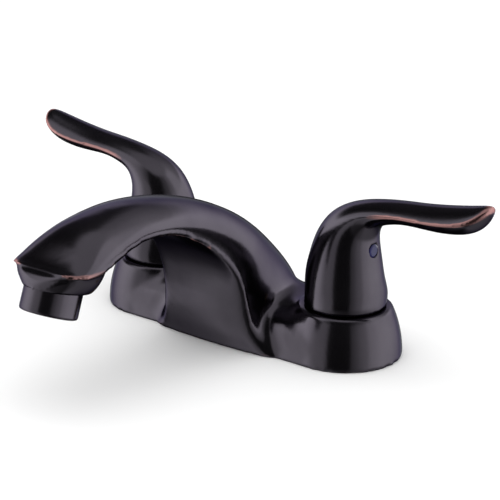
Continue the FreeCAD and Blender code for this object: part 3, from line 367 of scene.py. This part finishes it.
def ease_covers(piece, turns):
    """Round the crown and the arch's underside where they close over the waterway."""
    def over_waterway(spot):
        if abs(spot.x) > 0.005 or not -0.112 < spot.y < -0.008:
            return 0
        return (fade(0.0065 - from_waterway(spot), 0, 0.0015) * fade(spot.y, -0.108, -0.1)
                * fade(0.005 - abs(spot.x), 0, 0.0012))
    select_only(piece)
    ease = piece.modifiers.new("cover_easing", "SMOOTH")
    ease.factor = 0.7
    ease.iterations = turns
    ease.vertex_group = group_of(piece, "over_waterway", over_waterway)
    bpy.ops.object.modifier_apply(modifier=ease.name)
    piece.vertex_groups.clear()


def mark_worn_and_highlit_edges(piece, wanted, start, end, softening):
    """Store where hands rub the finish off the outward edges, which also places the painted edge
    highlight.
    """
    mesh = piece.data
    bend = bend_of(mesh, neighbours(mesh), softening)
    layer = mesh.attributes.new("worn_and_highlit_edge", "FLOAT", "POINT")
    for index, value in enumerate(bend):
        layer.data[index].value = fade(value, start, end) * wanted(mesh.vertices[index].co)


def spout_valley(spot):
    """The join of spout, saddle and hubs, clear of the rim under each handle."""
    if not 0.013 < abs(spot.x) < 0.046 or not 0.001 < spot.z < 0.05:
        return 0
    from_hub = math.hypot(abs(spot.x) - HUB_X, spot.y)
    near_rim = fade(from_hub, 0.0195, 0.022)
    return near_rim * fade(spot.z, 0.001, 0.004)


def spout_ridge(spot):
    """The long edges under the spout's sides and round its mouth."""
    above_chin = 0.75 * fade(spot.z, 0.0585, 0.0603) if spot.y < -0.1 else 1
    return (fade(0.034 - abs(spot.x), 0, 0.002) * fade(-spot.y, 0.022, 0.026)
            * fade(spot.z, 0.0, 0.003) * above_chin)


def under_lip(spot):
    """The join of the lip's underside and the chin."""
    return fade(-spot.y, 0.108, 0.114) * fade(spot.z, 0.053, 0.055) * fade(0.0625 - spot.z, 0, 0.001)


def crisp_rims(spot):
    """Ease all but the rims that the handles turn on and the mouth's lip, which stay crisp."""
    from_hub = math.hypot(abs(spot.x) - HUB_X, spot.y)
    on_rim = fade(0.0225 - from_hub, 0, 0.002) * fade(spot.z, 0.016, 0.018)
    on_lip = fade(-spot.y, 0.112, 0.118) * fade(spot.z, 0.056, 0.059)
    return 1 - 0.8 * on_rim - 0.65 * on_lip


def arch_sides(spot):
    """The long edges under the spout, short of its mouth."""
    return spout_ridge(spot) * fade(spot.y, -0.116, -0.11)


def skirt(spot):
    """Ease the lever's rim at the hub less than the rest."""
    return 0.25 + 0.75 * fade(spot.z, 0.0235, 0.0265)


def lever_ridge(side):
    """The long edges of the lever's blade, on the hot (-1) or cold (1) side."""
    def wanted(spot):
        return fade((spot.x - HUB_X * side) * side, 0.012, 0.024) * fade(spot.z, 0.058, 0.062)
    return wanted


def dress(piece, node, body):
    """Let the skin ride on its body and stand for its casting."""
    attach(piece, body)
    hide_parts(node)


mouth_plug = round_bar("mouth_plug", PLUG_RADIUS, FOOT_FRONT + sloped(-15) * 0.012,
                       sloped(75), 0.0023)
spout_skin = cast_skin("spout_and_base_skin", "faucet_body", SPOUT_MESH, 10, crisp_rims,
                       [mouth_plug], close_waterway)
true_ridges(spout_skin, arch_sides, 9)
blend_valleys(spout_skin, spout_valley, 12, 90)
blend_valleys(spout_skin, under_lip, 4, 25)
ease_covers(spout_skin, 30)
# Copper wear and a painted highlight along the spout's lower edges and mouth.
mark_worn_and_highlit_edges(spout_skin, spout_ridge, 0.05, 0.14, 5)
bore(spout_skin, round_bar("mouth_drill", MOUTH_RADIUS, MOUTH - sloped(69) * 0.01, sloped(69), 0.0124))
dress(spout_skin, "faucet_body", "faucet")
for word, side in (("hot", -1), ("cold", 1)):
    lever_skin = cast_skin(f"{word}_lever_skin", f"{word}_handle", LEVER_MESH, 4, skirt)
    # Copper wear and a painted highlight along the lever blade's edges.
    mark_worn_and_highlit_edges(lever_skin, lever_ridge(side), 0.04, 0.12, 4)
    dress(lever_skin, f"{word}_handle", f"{word}_lever")

slot_of = {part["node"]: part["material_slot"] for part in frame["record"]["subparts"]}
for name, node in frame["nodes"].items():
    node.data.materials.clear()
    node.data.materials.append(finishes[slot_of[name]])
for piece in bpy.data.objects:
    if piece.type == "MESH" and piece.name.endswith("_skin"):
        piece.data.materials.append(finishes["bronze_finish"])
for name in frame["nodes"]:
    select_only(frame["nodes"][name])
    bpy.ops.object.shade_smooth_by_angle(angle=PART_CREASE)


# Floor, light and camera

bpy.ops.mesh.primitive_plane_add(size=6, location=(0, 0, 0))
floor = bpy.context.object
floor.name = "deck"
floor.visible_glossy = False
floor_paint, _, _, shader = new_material("white_deck")
shader.inputs["Base Color"].default_value = (0.9, 0.9, 0.9, 1)
shader.inputs["Roughness"].default_value = 0.9
floor.data.materials.append(floor_paint)


def light_panel(name, place, aim, size, power):
    """A square panel of light that gloss doesn't show."""
    bpy.ops.object.light_add(type="AREA", location=place)
    lamp = bpy.context.object
    lamp.name = name
    lamp.data.shape = "SQUARE"
    lamp.data.size = size
    lamp.data.energy = power
    lamp.rotation_euler = (Vector(aim) - Vector(place)).to_track_quat("-Z", "Y").to_euler()
    lamp.visible_glossy = False


light_panel("top_panel", (0.2, -0.3, 1.6), (0, 0, 0), 1.6, 12)

DARK = 0.02


def studio_world():
    """White all round, with dark gaps between the light panels that gloss shows as bands."""
    world = bpy.data.worlds.new("studio")
    bpy.context.scene.world = world
    world.use_nodes = True
    nodes = world.node_tree.nodes
    links = world.node_tree.links
    nodes.clear()
    out = nodes.new("ShaderNodeOutputWorld")
    path = nodes.new("ShaderNodeLightPath")
    direction = nodes.new("ShaderNodeTexCoord")
    split = nodes.new("ShaderNodeSeparateXYZ")
    links.new(direction.outputs["Generated"], split.inputs["Vector"])
    turn = nodes.new("ShaderNodeMath")
    turn.operation = "ARCTAN2"
    links.new(split.outputs["Y"], turn.inputs[0])
    links.new(split.outputs["X"], turn.inputs[1])
    round_share = nodes.new("ShaderNodeMapRange")
    round_share.inputs["From Min"].default_value = -math.pi
    round_share.inputs["From Max"].default_value = math.pi
    links.new(turn.outputs["Value"], round_share.inputs["Value"])

    def ring(stops):
        ramp = nodes.new("ShaderNodeValToRGB")
        ramp.color_ramp.interpolation = "EASE"
        first = ramp.color_ramp.elements
        while len(first) > 1:
            first.remove(first[-1])
        for index, (degrees, level) in enumerate(stops):
            spot = (degrees + 180) / 360
            element = first[0] if index == 0 else first.new(spot)
            element.position = spot
            element.color = (level, level, level, 1)
        links.new(round_share.outputs["Result"], ramp.inputs["Fac"])
        return ramp

    under = ring([(-180, 0.15), (-150, 0.35), (-134, 0.6), (-120, 0.44), (-95, 0.3), (-80, 0.1),
                  (-46, 0.06), (-30, 0.2), (0, 0.35), (90, 0.38), (130, DARK), (180, 0.15)])
    level = ring([(-180, 1.5), (-150, 1.4), (-135, 1.15), (-127, 0.9), (-122, 0.66), (-112, 0.48),
                  (-93, 0.42), (-86, DARK), (-43, DARK), (-38, 0.2), (-12, 0.48), (3, 0.86),
                  (28, 1.1), (58, 1.25), (84, 1.7), (112, 1.4), (124, 1.3), (138, 2), (155, 1.7),
                  (180, 1.5)])
    above = ring([(-180, DARK), (-166, 0.05), (-152, 0.8), (-128, 0.8), (-100, 0.25), (-88, DARK),
                  (-45, DARK), (-20, 0.2), (5, 0.5), (25, 0.95), (50, 0.95), (72, 0.6), (112, 0.4),
                  (130, 0.07), (180, DARK)])
    top = (0.5, 0.5, 0.5, 1)

    def rise(low, high):
        step = nodes.new("ShaderNodeMapRange")
        step.interpolation_type = "SMOOTHSTEP"
        step.inputs["From Min"].default_value = low
        step.inputs["From Max"].default_value = high
        links.new(split.outputs["Z"], step.inputs["Value"])
        return step.outputs["Result"]

    def join(share, lower, upper):
        mix = nodes.new("ShaderNodeMix")
        mix.data_type = "RGBA"
        links.new(share, mix.inputs["Factor"])
        links.new(lower, mix.inputs["A"])
        if isinstance(upper, tuple):
            mix.inputs["B"].default_value = upper
        else:
            links.new(upper, mix.inputs["B"])
        return mix.outputs["Result"]

    def round_card(behind, turned, raised, inner, outer, shade):
        """A round card hung before the panels, at a turn and rise in degrees."""
        turned, raised = math.radians(turned), math.radians(raised)
        toward = nodes.new("ShaderNodeVectorMath")
        toward.operation = "DOT_PRODUCT"
        toward.inputs[1].default_value = (math.cos(turned) * math.cos(raised),
                                          math.sin(turned) * math.cos(raised), math.sin(raised))
        links.new(direction.outputs["Generated"], toward.inputs[0])
        share = nodes.new("ShaderNodeMapRange")
        share.interpolation_type = "SMOOTHSTEP"
        share.inputs["From Min"].default_value = math.cos(math.radians(outer))
        share.inputs["From Max"].default_value = math.cos(math.radians(inner))
        links.new(toward.outputs["Value"], share.inputs["Value"])
        return join(share.outputs["Result"], behind, (shade, shade, shade, 1))

    lower_half = join(rise(-0.55, -0.38), under.outputs["Color"], level.outputs["Color"])
    upper_half = join(rise(0.35, 0.5), lower_half, above.outputs["Color"])
    panels = join(rise(0.84, 0.92), upper_half, top)
    panels = round_card(panels, 128, -19, 12, 26, DARK)
    gloss_view = nodes.new("ShaderNodeBackground")
    links.new(panels, gloss_view.inputs["Color"])
    plain = nodes.new("ShaderNodeBackground")
    plain.inputs["Color"].default_value = (1, 1, 1, 1)
    plain.inputs["Strength"].default_value = 1
    either = nodes.new("ShaderNodeMixShader")
    links.new(path.outputs["Is Glossy Ray"], either.inputs[0])
    links.new(plain.outputs["Background"], either.inputs[1])
    links.new(gloss_view.outputs["Background"], either.inputs[2])
    links.new(either.outputs["Shader"], out.inputs["Surface"])


studio_world()

AIM = Vector((0, 0, 0.03))
AIM_RAISED, AIM_LEFT = 10.15, 1.01
AZIMUTH = 0.6662
ELEVATION = 0.3384
DISTANCE = 0.7902
ROLL = 0.0062
PIXEL_LENS = 1800
PIXELS = 500
outward = Vector((math.sin(AZIMUTH) * math.cos(ELEVATION), -math.cos(AZIMUTH) * math.cos(ELEVATION),
                  math.sin(ELEVATION)))
right = Vector((math.cos(AZIMUTH), math.sin(AZIMUTH), 0))
upward = outward.cross(right)
target = AIM + (upward * AIM_RAISED - right * AIM_LEFT) * (DISTANCE / PIXEL_LENS)
camera_data = bpy.data.cameras.new("photo_camera")
camera_data.sensor_width = 36
camera_data.lens = 36 * PIXEL_LENS / PIXELS
camera = bpy.data.objects.new("photo_camera", camera_data)
bpy.context.collection.objects.link(camera)
camera.location = AIM + outward * DISTANCE
facing = (target - camera.location).to_track_quat("-Z", "Y")
camera.rotation_euler = (facing @ Quaternion((0, 0, 1), ROLL)).to_euler()
bpy.context.scene.camera = camera
bpy.context.scene.view_settings.view_transform = "Standard"
